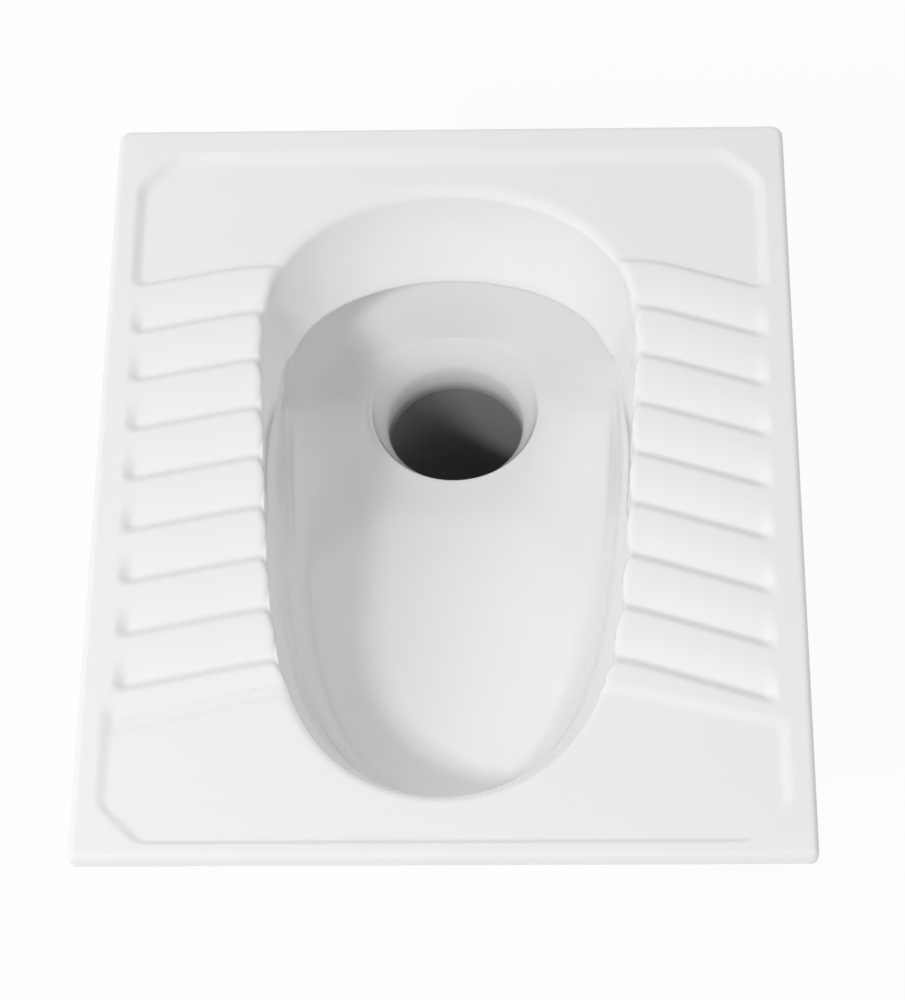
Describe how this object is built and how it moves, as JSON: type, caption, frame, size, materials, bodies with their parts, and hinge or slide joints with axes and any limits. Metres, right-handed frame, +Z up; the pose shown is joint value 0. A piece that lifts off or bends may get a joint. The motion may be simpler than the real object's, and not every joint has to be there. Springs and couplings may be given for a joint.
{
  "type": "squat toilet",
  "caption": "Floor-level squat toilet: ribbed foot plates beside a deep bowl with an overhanging flush rim, on a push-fit trap under it.",
  "frame": {"origin": "middle of the plate, on the plane that the skirt's foot beds on, at the top of the floor cut-out", "axes": "+X to the right seen by a person facing the flush rim, +Y from the near edge towards the flush rim, +Z up"},
  "size_m": [0.45, 0.55, 0.4392],
  "materials": {
    "china": "white gloss glaze",
    "seal_rubber": "matt moulded",
    "pipe_plastic": "satin moulded light grey",
    "plug_plastic": "satin moulded dark grey"
  },
  "bodies": {
    "root": {"pan": "china", "flush_inlet_seal": "seal_rubber", "outlet_seal": "seal_rubber", "trap_body": "pipe_plastic", "trap_bend_seal": "seal_rubber", "outlet_bend": "pipe_plastic", "cleaning_plug": "plug_plastic", "cleaning_plug_seal": "seal_rubber"}
  },
  "joints": []
}
